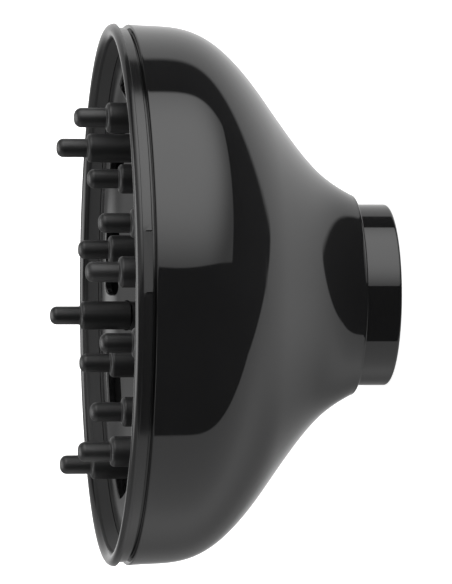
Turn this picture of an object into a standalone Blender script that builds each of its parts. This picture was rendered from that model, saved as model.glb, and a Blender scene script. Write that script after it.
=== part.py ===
"""Hair dryer diffuser: a turned bell that clips on a dryer's barrel, with a removable finger grille.

The origin is the centre of the collar's end face. +Z runs along the axis towards the fingers, so the
diffuser stands on its collar. Lengths are in millimetres here and are scaled to metres as meshes are made.
"""

import math

import bmesh
import bpy
from mathutils import Matrix, Vector

MM = 0.001
RING_STEPS = 36  # facets round every large turned piece, so that nested pieces stay in step
SMALL_STEPS = 10  # facets round fingers, their seats and bosses
SCREW_STEPS = 8
DEFLECTOR_STEPS = 28
GAP = 0.3  # running and seating clearance between neighbouring pieces
MERGE = 1e-5  # metres
CHAMFER = 0.4
HOLE_PAST = 1.0  # how far a drill runs past the faces it opens

# Bell
MOUTH_Z, MOUTH_R = 78.4, 79.8
MOUTH_DRAFT = math.radians(4.9)
WAIST_Z, WAIST_R = 38.7, 58.4  # where the bell's curve turns from convex to hollow
WAIST_SLOPE = math.radians(54.3)
NECK_Z, NECK_R = 11.2, 30.0
NECK_SLOPE = math.radians(27.9)
BELL_HANDLES = (15.0, 29.7, 23.8, 11.2)  # reach of each tangent, from mouth to neck
NECK_EDGE = 0.7
WALL = 2.4
SPIGOT_LEDGE_Z = 67.7
SPIGOT_BORE_R = 77.6
INNER_MARGIN = (3.0, 1.0)  # kept between the curved inside and the shelf below it or the ledge above

# Collar and what holds it in the neck
COLLAR_R, COLLAR_EDGE = 27.0, 0.9
COLLAR_BORE_R = 24.6
COLLAR_TOP_Z = 23.0
FLANGE_R, FLANGE_Z = 29.0, 20.6
BARREL_STOP_R, BARREL_STOP_Z = 22.9, 21.0
SHELF_Z = 23.0
RETAINER_HEIGHT, RETAINER_INNER_R, RETAINER_OUTER_R = 2.0, 25.2, 34.6
RETAINER_SCREW_CIRCLE_R = 32.2
RETAINER_PILOT_DEPTH = 4.8
GRIP_Z, GRIP_HEIGHT, GRIP_GROOVE_DEPTH = 3.0, 12.0, 1.0
RIB_COUNT, RIB_HEIGHT, RIB_HALF = 3, 0.8, 1.3

# Front bezel
BEAD_TOP_Z, BEAD_TOP_R = 84.05, 78.1
BEAD_OUTER_R, BEAD_INNER_R = 80.0, 75.6
BEAD_REAR_Z = 82.0
BAND_R, BAND_REAR_Z = 78.8, 79.2
APERTURE_R, APERTURE_Z = 73.6, 79.2
SKIRT_R, SKIRT_WALL = 77.3, 1.6
SEAL_Z, SEAL_HEIGHT, SEAL_DEPTH = 70.4, 1.8, 0.9
SEAL_PLAY = 0.2  # round the seal in its groove and in the bell
KEY_ANGLE = math.radians(12.4)  # between the two slits beside a tab
KEY_SLIT_SIZE = (1.6, 0.5, 2.9)
KEY_SLIT_LIFT = 0.4  # from the band's rear edge to the slit's middle
HOOK_COUNT = 6
HOOK_SIZE = (3.0, 9.0, 1.6)  # hooks inside the skirt that hold the finger plate

# Finger plate
# The dish is round inside DISH_CENTRE_R, then a cone; it curls up under the slots and ends in a flatter land.
DISH_CENTRE_R, DISH_CONE_R, DISH_LAND_R = 30.0, 60.0, 69.0
DISH_CONE_Z, DISH_CONE_RISE = 72.9, 0.30
DISH_CURL, DISH_LAND_RISE = 0.0295, 0.36  # slope gained per millimetre, and the land's slope
DISH_RINGS = 3  # facets across the round centre, and across the curl
PLATE_THICK = 2.0
PLATE_RIM_R = 75.2
SLOT_INNER_R, SLOT_OUTER_R, SLOT_CORNER = 62.1, 69.0, 2.5
SLOT_COUNT, SLOT_HALF = 11, math.radians(9.7)
SLOT_STEPS = 3  # facets along a slot's long sides
SLOT_REACH = 15.0  # of its cutter, up and down
TRIM_STOCK = 0.8  # left on the plate's front for the dish's own cutter, after the bosses are on
TRIM_REACH = (2.0, 20.0)  # how far that cutter goes past the rim and above it

# Fingers: two rings of six, half a step apart; the outer ring stands higher because the plate is dished
RING_COUNT = 6
OUTER_CIRCLE_R, INNER_CIRCLE_R = 55.75, 34.66
OUTER_START, INNER_START = math.radians(30), 0.0
OUTER_TIP_Z, INNER_TIP_Z = 95.5, 89.05
FINGER_LENGTH = 25.0  # from its seat to its tip
TIP_LENGTH, TIP_R, TIP_EDGE = 9.3, 2.85, 2.1
BASE_R, BASE_EDGE = 4.4, 1.2
SHANK_R, SNAP_HEAD_R, SNAP_HEAD_HEIGHT = 2.1, 3.0, 1.8
SEAT_R, SEAT_BOSS_R, SEAT_FLOOR = 4.7, 6.2, 2.2
SEAT_HEADROOM = 12.0  # of the cutter above a seat
SHANK_HOLE = (8.0, 2.0)  # its cutter's reach below and above the seat

# Air deflector, hung behind the plate
DEFLECTOR_R, DEFLECTOR_APEX_Z, DEFLECTOR_EDGE_Z = 26.0, 50.0, 56.0
DEFLECTOR_THICK = 1.8
DEFLECTOR_RINGS = 5  # facets from its middle to its edge
DEFLECTOR_SCREW_CIRCLE_R = 15.0
DEFLECTOR_PAD_R, DEFLECTOR_PAD_Z, DEFLECTOR_PAD_TOP_Z = 3.6, 51.0, 54.6
POST_BURIED = 0.9  # under the dish's front
POST_PILOT_DEPTH = 5.5

# Screws
SCREW_SHANK_R, SCREW_HEAD_R, SCREW_HEAD_HEIGHT = 1.1, 2.0, 1.5
SCREW_PILOT_R = SCREW_SHANK_R + 0.25
SCREW_RECESS_R, SCREW_RECESS_DEPTH = 0.7, 0.5
SCREW_POINT_R, SCREW_POINT_LENGTH = 0.3, 0.8
SCREW_SEAT_GAP = 0.1
RETAINER_SCREW_LENGTH, DEFLECTOR_SCREW_LENGTH = 6.2, 9.0

COLOURS = {  # base colour, roughness
    "gloss_black": ((0.012, 0.012, 0.013), 0.08),
    "satin_black": ((0.020, 0.020, 0.021), 0.32),
    "plate_black": ((0.030, 0.030, 0.031), 0.42),
    "finger_black": ((0.016, 0.016, 0.017), 0.48),
    "silicone_grey": ((0.05, 0.05, 0.052), 0.65),
    "screw_steel": ((0.45, 0.45, 0.46), 0.30),
}
METALLIC = {"screw_steel": 1.0}


# ---------------------------------------------------------------- helpers


def collection(name):
    made = bpy.data.collections.new(name)
    bpy.context.scene.collection.children.link(made)
    return made


def material(name):
    """The Principled material of that name, made on first use."""
    found = bpy.data.materials.get(name)
    if found:
        return found
    made = bpy.data.materials.new(name)
    made.use_nodes = True
    shader = made.node_tree.nodes["Principled BSDF"]
    colour, roughness = COLOURS[name]
    shader.inputs["Base Color"].default_value = (*colour, 1.0)
    shader.inputs["Roughness"].default_value = roughness
    shader.inputs["Metallic"].default_value = METALLIC.get(name, 0.0)
    return made


def polar(radius, angle):
    return Vector((radius * math.cos(angle), radius * math.sin(angle), 0.0))


def arc(centre, radius, start, end, count):
    """Points of an arc in the (r, z) half plane, both ends included, angles in degrees from +r."""
    points = []
    for i in range(count + 1):
        angle = math.radians(start + (end - start) * i / count)
        points.append((centre[0] + radius * math.cos(angle), centre[1] + radius * math.sin(angle)))
    return points


def bezier(p0, p1, p2, p3, count):
    """Points of a cubic curve, both ends included."""
    points = []
    for i in range(count + 1):
        t = i / count
        weights = ((1 - t) ** 3, 3 * t * (1 - t) ** 2, 3 * t * t * (1 - t), t**3)
        points.append(tuple(sum(w * p[k] for w, p in zip(weights, (p0, p1, p2, p3))) for k in (0, 1)))
    return points


def offset_inwards(points, distance):
    """The same open outline moved towards the axis side along its normals."""
    moved = []
    for i, (r, z) in enumerate(points):
        before, after = points[max(i - 1, 0)], points[min(i + 1, len(points) - 1)]
        dr, dz = after[0] - before[0], after[1] - before[1]
        length = math.hypot(dr, dz)
        moved.append((r + distance * dz / length, z - distance * dr / length))
    return moved


def turned(name, outline, steps, finish, where, closed=True):
    """A piece turned about Z. The outline runs down its outer side, top to bottom, in (r, z).

    A closed outline makes a ring; an open one starts and ends on the axis.
    """
    mesh = bpy.data.meshes.new(name)
    count = len(outline)
    edges = [(i, i + 1) for i in range(count - 1)]
    if closed:
        edges.append((count - 1, 0))
    mesh.from_pydata([(r * MM, 0.0, z * MM) for r, z in outline], edges, [])
    piece = bpy.data.objects.new(name, mesh)
    where.objects.link(piece)
    screw = piece.modifiers.new("turn", "SCREW")
    screw.axis = "Z"
    screw.angle = math.tau
    screw.steps = steps
    screw.render_steps = steps
    screw.use_merge_vertices = True
    screw.merge_threshold = MERGE
    screw.use_smooth_shade = True
    mesh.materials.append(material(finish))
    return piece


def baked(piece):
    """The piece with its modifiers applied, ready to be a cutter or to be shared."""
    graph = bpy.context.evaluated_depsgraph_get()
    mesh = bpy.data.meshes.new_from_object(piece.evaluated_get(graph))
    weld = bmesh.new()
    weld.from_mesh(mesh)
    bmesh.ops.remove_doubles(weld, verts=weld.verts, dist=MERGE)
    weld.to_mesh(mesh)
    weld.free()
    piece.modifiers.clear()
    piece.data = mesh
    return piece


def rod(name, radius, low, high, at, where, steps=SMALL_STEPS):
    """A capped cylinder along Z, used as a boss or as a drill."""
    shape = bmesh.new()
    bmesh.ops.create_cone(
        shape, cap_ends=True, segments=steps, radius1=radius * MM, radius2=radius * MM,
        depth=(high - low) * MM,
    )
    mesh = bpy.data.meshes.new(name)
    shape.to_mesh(mesh)
    shape.free()
    made = bpy.data.objects.new(name, mesh)
    made.location = (at[0] * MM, at[1] * MM, (low + high) / 2 * MM)
    where.objects.link(made)
    return made


def block(name, size, at, turn, where):
    """A box of that size in mm, turned about Z."""
    shape = bmesh.new()
    bmesh.ops.create_cube(shape, size=1.0, matrix=Matrix.Diagonal((*[s * MM for s in size], 1.0)))
    mesh = bpy.data.meshes.new(name)
    shape.to_mesh(mesh)
    shape.free()
    made = bpy.data.objects.new(name, mesh)
    made.location = Vector(at) * MM
    made.rotation_euler.z = turn
    where.objects.link(made)
    return made


def joined(tools, name, where):
    """Separate, non-overlapping helper shapes as one helper mesh."""
    bpy.context.view_layer.update()
    shape = bmesh.new()
    for tool in tools:
        copy = tool.data.copy()
        copy.transform(tool.matrix_world)
        shape.from_mesh(copy)
        bpy.data.meshes.remove(copy)
        bpy.data.objects.remove(tool)
    mesh = bpy.data.meshes.new(name)
    shape.to_mesh(mesh)
    shape.free()
    made = bpy.data.objects.new(name, mesh)
    where.objects.link(made)
    return made


def combine(piece, tool, operation):
    """Adds a Boolean with a helper, which is then hidden from renders."""
    tool.hide_render = True
    tool.display_type = "WIRE"
    boolean = piece.modifiers.new(f"{operation.lower()}_{tool.name}", "BOOLEAN")
    boolean.operation = operation
    boolean.solver = "EXACT"
    boolean.object = tool


def three_round(radius):
    return [polar(radius, math.radians(90 + 120 * i)) for i in range(3)]


# ---------------------------------------------------------------- the bell


def bell_outline():
    """The bell's outer side from mouth to neck, two tangent cubic curves in (r, z)."""

    def heading(slope):
        return -math.sin(slope), -math.cos(slope)

    mouth, waist, neck = (MOUTH_R, MOUTH_Z), (WAIST_R, WAIST_Z), (NECK_R, NECK_Z)
    at_mouth, at_waist, at_neck = heading(MOUTH_DRAFT), heading(WAIST_SLOPE), heading(NECK_SLOPE)
    h0, h1, h2, h3 = BELL_HANDLES

    def along(point, direction, reach):
        return point[0] + direction[0] * reach, point[1] + direction[1] * reach

    upper = bezier(mouth, along(mouth, at_mouth, h0), along(waist, at_waist, -h1), waist, 7)
    lower = bezier(waist, along(waist, at_waist, h2), along(neck, at_neck, -h3), neck, 5)
    return upper + lower[1:]


def outer_shell(where, tools):
    outer = bell_outline()
    edge = arc((NECK_R - NECK_EDGE, NECK_Z), NECK_EDGE, -10, -90, 2)
    socket = [
        (COLLAR_R + GAP, NECK_Z - NECK_EDGE),
        (COLLAR_R + GAP, FLANGE_Z - GAP),
        (FLANGE_R + GAP, FLANGE_Z - GAP),
        (FLANGE_R + GAP, SHELF_Z),
    ]
    lowest, highest = SHELF_Z + INNER_MARGIN[0], SPIGOT_LEDGE_Z - INNER_MARGIN[1]
    inner = [p for p in offset_inwards(outer, WALL) if lowest < p[1] < highest]
    shelf_edge = (RETAINER_OUTER_R + GAP, SHELF_Z)
    ledge_r = inner[0][0]
    ledge = [(ledge_r, SPIGOT_LEDGE_Z), (SPIGOT_BORE_R, SPIGOT_LEDGE_Z), (SPIGOT_BORE_R, MOUTH_Z)]
    outline = outer + edge + socket + [shelf_edge] + inner[::-1] + ledge
    piece = turned("outer_shell", outline, RING_STEPS, "gloss_black", where)
    low, high = SHELF_Z - RETAINER_PILOT_DEPTH, SHELF_Z + HOLE_PAST
    pilots = [
        rod("pilot", SCREW_PILOT_R, low, high, at, tools, SCREW_STEPS)
        for at in three_round(RETAINER_SCREW_CIRCLE_R)
    ]
    combine(piece, joined(pilots, "retainer_pilots", tools), "DIFFERENCE")
    return piece


# ---------------------------------------------------------------- collar, grip ring and retainer


def neck_collar(where):
    outline = [
        (FLANGE_R, COLLAR_TOP_Z),
        (FLANGE_R, FLANGE_Z),
        (COLLAR_R, FLANGE_Z),
        *arc((COLLAR_R - COLLAR_EDGE, COLLAR_EDGE), COLLAR_EDGE, 0, -90, 2),
        (COLLAR_BORE_R, 0.0),
        (COLLAR_BORE_R, GRIP_Z),
        (COLLAR_BORE_R + GRIP_GROOVE_DEPTH, GRIP_Z),
        (COLLAR_BORE_R + GRIP_GROOVE_DEPTH, GRIP_Z + GRIP_HEIGHT),
        (COLLAR_BORE_R, GRIP_Z + GRIP_HEIGHT),
        (COLLAR_BORE_R, BARREL_STOP_Z),
        (BARREL_STOP_R, BARREL_STOP_Z),
        (BARREL_STOP_R, COLLAR_TOP_Z),
    ]
    return turned("neck_collar", outline, RING_STEPS, "gloss_black", where)


def grip_ring(where):
    """A silicone sleeve in the collar's groove, with three soft ribs that hold the dryer's barrel."""
    outer = COLLAR_BORE_R + GRIP_GROOVE_DEPTH - GAP
    inner, low, high = COLLAR_BORE_R - GAP, GRIP_Z + GAP, GRIP_Z + GRIP_HEIGHT - GAP
    pitch = (high - low) / RIB_COUNT
    ribs = []
    for i in range(RIB_COUNT):
        middle = low + (i + 0.5) * pitch
        ribs += [(inner, middle - RIB_HALF), (inner - RIB_HEIGHT, middle), (inner, middle + RIB_HALF)]
    outline = [(outer, high), (outer, low), (inner, low), *ribs, (inner, high)]
    return turned("grip_ring", outline, RING_STEPS, "silicone_grey", where)


def collar_retainer(where, tools):
    low = SHELF_Z + GAP
    high = low + RETAINER_HEIGHT
    outline = [
        (RETAINER_OUTER_R - CHAMFER, high),
        (RETAINER_OUTER_R, high - CHAMFER),
        (RETAINER_OUTER_R, low),
        (RETAINER_INNER_R, low),
        (RETAINER_INNER_R, high),
    ]
    piece = turned("collar_retainer", outline, RING_STEPS, "satin_black", where)
    holes = [
        rod("hole", SCREW_PILOT_R, low - HOLE_PAST, high + HOLE_PAST, at, tools, SCREW_STEPS)
        for at in three_round(RETAINER_SCREW_CIRCLE_R)
    ]
    combine(piece, joined(holes, "retainer_holes", tools), "DIFFERENCE")
    return piece


def pan_screw(name, at, seat_z, length, up, where):
    """A pan-head screw with its head's flat on seat_z. up is +1 where the head is above the seat."""
    outline = [
        (0.0, SCREW_HEAD_HEIGHT - SCREW_RECESS_DEPTH),
        (SCREW_RECESS_R, SCREW_HEAD_HEIGHT - SCREW_RECESS_DEPTH),
        (SCREW_RECESS_R, SCREW_HEAD_HEIGHT),
        (SCREW_HEAD_R - CHAMFER, SCREW_HEAD_HEIGHT),
        (SCREW_HEAD_R, SCREW_HEAD_HEIGHT - CHAMFER),
        (SCREW_HEAD_R, 0.0),
        (SCREW_SHANK_R, 0.0),
        (SCREW_SHANK_R, -length + SCREW_POINT_LENGTH),
        (SCREW_POINT_R, -length),
        (0.0, -length),
    ]
    piece = turned(name, outline, SCREW_STEPS, "screw_steel", where, closed=False)
    piece.location = (at[0] * MM, at[1] * MM, seat_z * MM)
    if up < 0:
        piece.rotation_euler.x = math.pi
    return piece


# ---------------------------------------------------------------- the front grille


def front_bezel(where, tools):
    """Rolled lip, seam band, bevelled aperture and a skirt that plugs into the bell's mouth."""
    outer_round = BEAD_OUTER_R - BEAD_TOP_R
    inner_round = BEAD_TOP_R - BEAD_INNER_R
    bead = arc((BEAD_TOP_R, BEAD_TOP_Z - inner_round), inner_round, 180, 90, 3)
    bead += arc((BEAD_TOP_R, BEAD_TOP_Z - outer_round), outer_round, 90, 0, 3)[1:]
    skirt_inner = SKIRT_R - SKIRT_WALL
    skirt_end = SPIGOT_LEDGE_Z + GAP
    seal_r = SKIRT_R - SEAL_DEPTH
    outline = [
        *bead,
        (BEAD_OUTER_R, BEAD_REAR_Z),
        (BAND_R, BEAD_REAR_Z),
        (BAND_R, BAND_REAR_Z),
        (SKIRT_R, BAND_REAR_Z),
        (SKIRT_R, SEAL_Z + SEAL_HEIGHT),
        (seal_r, SEAL_Z + SEAL_HEIGHT),
        (seal_r, SEAL_Z),
        (SKIRT_R, SEAL_Z),
        (SKIRT_R, skirt_end),
        (skirt_inner, skirt_end),
        (skirt_inner, APERTURE_Z),
        (APERTURE_R, APERTURE_Z),
    ]
    piece = turned("front_bezel", outline, RING_STEPS, "satin_black", where)
    hook_top = dish_z(APERTURE_R - GAP) - PLATE_THICK - GAP
    hooks = []
    for i in range(HOOK_COUNT):
        angle = math.tau * (i + 0.5) / HOOK_COUNT
        centre = polar(skirt_inner - GAP, angle)
        middle = (centre.x, centre.y, hook_top - HOOK_SIZE[2] / 2)
        hooks.append(block("hook", HOOK_SIZE, middle, angle, tools))
    combine(piece, joined(hooks, "plate_hooks", tools), "UNION")
    slits = []
    for side in (-1, 1):
        for edge in (-1, 1):
            angle = side * math.pi / 2 + edge * KEY_ANGLE / 2
            centre = polar(BAND_R, angle)
            middle = (centre.x, centre.y, BAND_REAR_Z + KEY_SLIT_LIFT)
            slits.append(block("slit", KEY_SLIT_SIZE, middle, angle, tools))
    combine(piece, joined(slits, "key_slits", tools), "DIFFERENCE")
    return piece


def seal_ring(where):
    """The elastic ring in the skirt's groove: its squeeze is what holds the grille in the bell."""
    inner, outer = SKIRT_R - SEAL_DEPTH + SEAL_PLAY / 2, SPIGOT_BORE_R - SEAL_PLAY
    low, high = SEAL_Z + SEAL_PLAY, SEAL_Z + SEAL_HEIGHT - SEAL_PLAY
    outline = [(outer, high), (outer, low), (inner, low), (inner, high)]
    return turned("seal_ring", outline, RING_STEPS, "silicone_grey", where)


def dish_z(radius):
    """Height of the plate's front face at a radius."""
    if radius > DISH_LAND_R:
        return dish_z(DISH_LAND_R) + DISH_LAND_RISE * (radius - DISH_LAND_R)
    from_cone = radius - DISH_CONE_R
    if from_cone > 0:
        return DISH_CONE_Z + DISH_CONE_RISE * from_cone + DISH_CURL * from_cone**2 / 2
    if radius > DISH_CENTRE_R:
        return DISH_CONE_Z + DISH_CONE_RISE * from_cone
    edge_z = DISH_CONE_Z - DISH_CONE_RISE * (DISH_CONE_R - DISH_CENTRE_R)
    return edge_z - DISH_CONE_RISE * (DISH_CENTRE_R**2 - radius**2) / (2 * DISH_CENTRE_R)


def finger_places():
    """(name, x, y, tip z) of the twelve fingers."""
    places = []
    rings = (
        ("outer", OUTER_CIRCLE_R, OUTER_START, OUTER_TIP_Z),
        ("inner", INNER_CIRCLE_R, INNER_START, INNER_TIP_Z),
    )
    for ring, radius, start, tip_z in rings:
        for i in range(RING_COUNT):
            at = polar(radius, start + math.tau * i / RING_COUNT)
            places.append((f"{ring}_finger_{i + 1}", at.x, at.y, tip_z))
    return places


def slot_outline(middle):
    """One curved slot with round corners, anticlockwise."""
    inner_r, outer_r = SLOT_INNER_R + SLOT_CORNER, SLOT_OUTER_R - SLOT_CORNER
    inner_end, outer_end = SLOT_HALF - SLOT_CORNER / inner_r, SLOT_HALF - SLOT_CORNER / outer_r

    def corner(radius, angle, start):
        turns = [angle + math.radians(start + 45 * step) for step in range(3)]
        return [polar(radius, angle) + polar(SLOT_CORNER, turn) for turn in turns]

    def side(radius, start, end):
        return [polar(radius, start + (end - start) * i / SLOT_STEPS) for i in range(1, SLOT_STEPS)]

    return [
        *corner(outer_r, middle + outer_end, 0),
        *corner(inner_r, middle + inner_end, 90),
        *side(SLOT_INNER_R, middle + inner_end, middle - inner_end),
        *corner(inner_r, middle - inner_end, 180),
        *corner(outer_r, middle - outer_end, 270),
        *side(SLOT_OUTER_R, middle - outer_end, middle + outer_end),
    ]


def slot_cutter(middle, tools):
    """A prism through the plate on a slot's outline."""
    outline = slot_outline(middle)
    level = dish_z(SLOT_INNER_R)
    shape = bmesh.new()
    low = [shape.verts.new((p.x * MM, p.y * MM, (level - SLOT_REACH) * MM)) for p in outline]
    high = [shape.verts.new((p.x * MM, p.y * MM, (level + SLOT_REACH) * MM)) for p in outline]
    shape.faces.new(low[::-1])
    shape.faces.new(high)
    for i in range(len(outline)):
        shape.faces.new((low[i - 1], low[i], high[i], high[i - 1]))
    mesh = bpy.data.meshes.new("slot")
    shape.to_mesh(mesh)
    shape.free()
    made = bpy.data.objects.new("slot", mesh)
    tools.objects.link(made)
    return made


def slot_middles():
    """Angles of the slots, evenly round the plate with the land between two of them at +Y."""
    return [math.pi / 2 + math.tau * (i + 0.5) / SLOT_COUNT for i in range(SLOT_COUNT)]


def dish_profile():
    """The dish's front face from its centre to its rim, in (r, z)."""
    inner = [DISH_CENTRE_R * i / DISH_RINGS for i in range(DISH_RINGS)]
    curl = [DISH_CONE_R + (DISH_LAND_R - DISH_CONE_R) * i / DISH_RINGS for i in range(DISH_RINGS + 1)]
    return [(r, dish_z(r)) for r in [*inner, DISH_CENTRE_R, *curl, APERTURE_R - GAP]]


def finger_plate(where, tools):
    """The dished plate: a seat and a hole for each finger, and a ring of curved air slots."""
    rim_top = APERTURE_Z - GAP
    front = dish_profile()
    blank = [(r, z + TRIM_STOCK) for r, z in front]
    blank += [(PLATE_RIM_R, rim_top + TRIM_STOCK), (PLATE_RIM_R, front[-1][1] - PLATE_THICK)]
    blank += [(r, z - PLATE_THICK) for r, z in front[::-1]]
    piece = turned("finger_plate", blank, RING_STEPS, "plate_black", where, closed=False)
    bosses, seats, holes = [], [], []
    for _, x, y, tip_z in finger_places():
        seat_z = tip_z - FINGER_LENGTH
        over = dish_z(math.hypot(x, y) + SEAT_BOSS_R) - GAP
        bosses.append(rod("boss", SEAT_BOSS_R, seat_z - SEAT_FLOOR, over, (x, y), tools))
        seats.append(rod("seat", SEAT_R, seat_z - GAP, seat_z + SEAT_HEADROOM, (x, y), tools))
        low, high = seat_z - SHANK_HOLE[0], seat_z + SHANK_HOLE[1]
        holes.append(rod("hole", SHANK_R + GAP, low, high, (x, y), tools, SCREW_STEPS))
    for at in three_round(DEFLECTOR_SCREW_CIRCLE_R):
        post_low = DEFLECTOR_PAD_TOP_Z + GAP
        post_high = dish_z(DEFLECTOR_SCREW_CIRCLE_R) - POST_BURIED
        bosses.append(rod("post", DEFLECTOR_PAD_R, post_low, post_high, at, tools))
        low, high = post_low - HOLE_PAST, post_low + POST_PILOT_DEPTH
        holes.append(rod("pilot", SCREW_PILOT_R, low, high, at, tools, SCREW_STEPS))
    combine(piece, joined(bosses, "plate_bosses", tools), "UNION")
    side, sky = PLATE_RIM_R + TRIM_REACH[0], APERTURE_Z + TRIM_REACH[1]
    trim = [(0.0, sky), (side, sky), (side, rim_top), *front[::-1]]
    dish_cutter = turned("dish_cutter", trim, RING_STEPS, "plate_black", tools, closed=False)
    combine(piece, dish_cutter, "DIFFERENCE")
    combine(piece, joined(seats, "finger_seats", tools), "DIFFERENCE")
    combine(piece, joined(holes, "plate_holes", tools), "DIFFERENCE")
    slots = [slot_cutter(middle, tools) for middle in slot_middles()]
    combine(piece, joined(slots, "air_slots", tools), "DIFFERENCE")
    return piece


def finger_outline():
    """The stepped finger, its seat at z = 0: a wide base, a thin tip, and a shank with a snap head."""
    base_top = FINGER_LENGTH - TIP_LENGTH
    floor = SEAT_FLOOR + GAP
    snap_r, head_end = SHANK_R - CHAMFER, -floor - SNAP_HEAD_HEIGHT
    return [
        (0.0, FINGER_LENGTH),
        *arc((TIP_R - TIP_EDGE, FINGER_LENGTH - TIP_EDGE), TIP_EDGE, 90, 0, 3),
        (TIP_R, base_top),
        *arc((BASE_R - BASE_EDGE, base_top - BASE_EDGE), BASE_EDGE, 90, 0, 2),
        (BASE_R, 0.0),
        (SHANK_R, 0.0),
        (SHANK_R, -floor),
        (SNAP_HEAD_R, -floor),
        (snap_r, head_end),
        (0.0, head_end),
    ]


def fingers(where):
    shared = None
    for name, x, y, tip_z in finger_places():
        if shared is None:
            turning = turned(name, finger_outline(), SMALL_STEPS, "finger_black", where, closed=False)
            piece = baked(turning)
            shared = piece.data
        else:
            piece = bpy.data.objects.new(name, shared)
            where.objects.link(piece)
        piece.location = (x * MM, y * MM, (tip_z - FINGER_LENGTH) * MM)


def air_deflector(where, tools):
    """A shallow cap, rounded side to the dryer, that throws the air out to the slots."""
    rise = DEFLECTOR_EDGE_Z - DEFLECTOR_APEX_Z
    radius = (DEFLECTOR_R**2 + rise**2) / (2 * rise)

    def cap_z(r):
        return DEFLECTOR_APEX_Z + radius - math.sqrt(radius**2 - r**2)

    radii = [DEFLECTOR_R * i / DEFLECTOR_RINGS for i in range(1, DEFLECTOR_RINGS + 1)]
    outline = [
        (0.0, DEFLECTOR_APEX_Z + DEFLECTOR_THICK),
        *[(r, cap_z(r) + DEFLECTOR_THICK) for r in radii],
        *[(r, cap_z(r)) for r in radii[::-1]],
        (0.0, DEFLECTOR_APEX_Z),
    ]
    piece = turned("air_deflector", outline, DEFLECTOR_STEPS, "satin_black", where, closed=False)
    pads, holes = [], []
    low, high = DEFLECTOR_PAD_Z - HOLE_PAST, DEFLECTOR_PAD_TOP_Z + HOLE_PAST
    for at in three_round(DEFLECTOR_SCREW_CIRCLE_R):
        pads.append(rod("pad", DEFLECTOR_PAD_R, DEFLECTOR_PAD_Z, DEFLECTOR_PAD_TOP_Z, at, tools))
        holes.append(rod("hole", SCREW_PILOT_R, low, high, at, tools, SCREW_STEPS))
    combine(piece, joined(pads, "deflector_pads", tools), "UNION")
    combine(piece, joined(holes, "deflector_holes", tools), "DIFFERENCE")
    return piece


# ---------------------------------------------------------------- assembly


def main():
    for old in list(bpy.data.objects):
        bpy.data.objects.remove(old)
    where = collection("dryer_diffuser")
    tools = collection("cutters")
    outer_shell(where, tools)
    neck_collar(where)
    grip_ring(where)
    collar_retainer(where, tools)
    retainer_top = SHELF_Z + GAP + RETAINER_HEIGHT
    for i, at in enumerate(three_round(RETAINER_SCREW_CIRCLE_R)):
        seat_z = retainer_top + SCREW_SEAT_GAP
        pan_screw(f"retainer_screw_{i + 1}", at, seat_z, RETAINER_SCREW_LENGTH, 1, where)
    front_bezel(where, tools)
    seal_ring(where)
    finger_plate(where, tools)
    fingers(where)
    air_deflector(where, tools)
    for i, at in enumerate(three_round(DEFLECTOR_SCREW_CIRCLE_R)):
        seat_z = DEFLECTOR_PAD_Z - SCREW_SEAT_GAP
        pan_screw(f"deflector_screw_{i + 1}", at, seat_z, DEFLECTOR_SCREW_LENGTH, -1, where)
    for tool in tools.objects:
        tool.hide_render = True
        tool.display_type = "WIRE"


main()
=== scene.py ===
"""Looks of the dryer diffuser: fine moulded surfaces, black plastics and a soft white studio.

Lengths are in millimetres until a mesh is made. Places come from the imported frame's boxes.
"""

import math

import bmesh
import bpy
from mathutils import Matrix, Vector


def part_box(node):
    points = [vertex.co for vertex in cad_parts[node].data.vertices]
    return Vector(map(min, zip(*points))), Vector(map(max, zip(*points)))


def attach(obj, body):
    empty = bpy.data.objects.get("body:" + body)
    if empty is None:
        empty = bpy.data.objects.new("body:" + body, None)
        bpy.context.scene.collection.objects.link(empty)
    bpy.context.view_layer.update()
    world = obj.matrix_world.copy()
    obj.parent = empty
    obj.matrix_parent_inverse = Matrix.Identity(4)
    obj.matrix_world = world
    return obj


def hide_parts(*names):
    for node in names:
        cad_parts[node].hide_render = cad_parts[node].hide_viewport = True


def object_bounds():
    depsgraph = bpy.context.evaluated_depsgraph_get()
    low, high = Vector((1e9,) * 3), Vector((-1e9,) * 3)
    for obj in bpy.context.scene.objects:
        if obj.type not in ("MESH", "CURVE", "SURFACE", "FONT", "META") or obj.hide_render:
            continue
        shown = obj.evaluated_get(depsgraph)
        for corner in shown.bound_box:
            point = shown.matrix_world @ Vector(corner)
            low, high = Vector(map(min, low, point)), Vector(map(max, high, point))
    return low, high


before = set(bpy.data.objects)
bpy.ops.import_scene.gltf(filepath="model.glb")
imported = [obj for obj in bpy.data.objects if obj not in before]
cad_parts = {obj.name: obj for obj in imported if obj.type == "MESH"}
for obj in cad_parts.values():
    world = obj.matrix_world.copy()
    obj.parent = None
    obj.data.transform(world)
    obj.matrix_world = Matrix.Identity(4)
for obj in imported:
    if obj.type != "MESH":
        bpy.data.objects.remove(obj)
CAD_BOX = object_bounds()

MM = 0.001
MERGE = 1e-6  # metres
RING_STEPS = 240  # steps round the large turned pieces
SMALL_STEPS = 48  # steps round fingers, bosses and screws
FILLET_STEPS = 5
GAP = 0.3
TIGHT, FINE, SOFT, WIDE, ROUND = 0.15, 0.2, 0.3, 0.4, 0.5  # radii of the moulded edges
HOLE_PAST = 1.0  # how far a drill runs past the faces it opens
SHARP_ANGLE = math.radians(32.0)  # between two faces, past which the edge is shaded sharp


def corners_mm(node):
    """A node's lowest and highest corner in millimetres."""
    low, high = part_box(node)
    return low / MM, high / MM


def centre_mm(node):
    low, high = corners_mm(node)
    return (low + high) / 2


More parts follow.
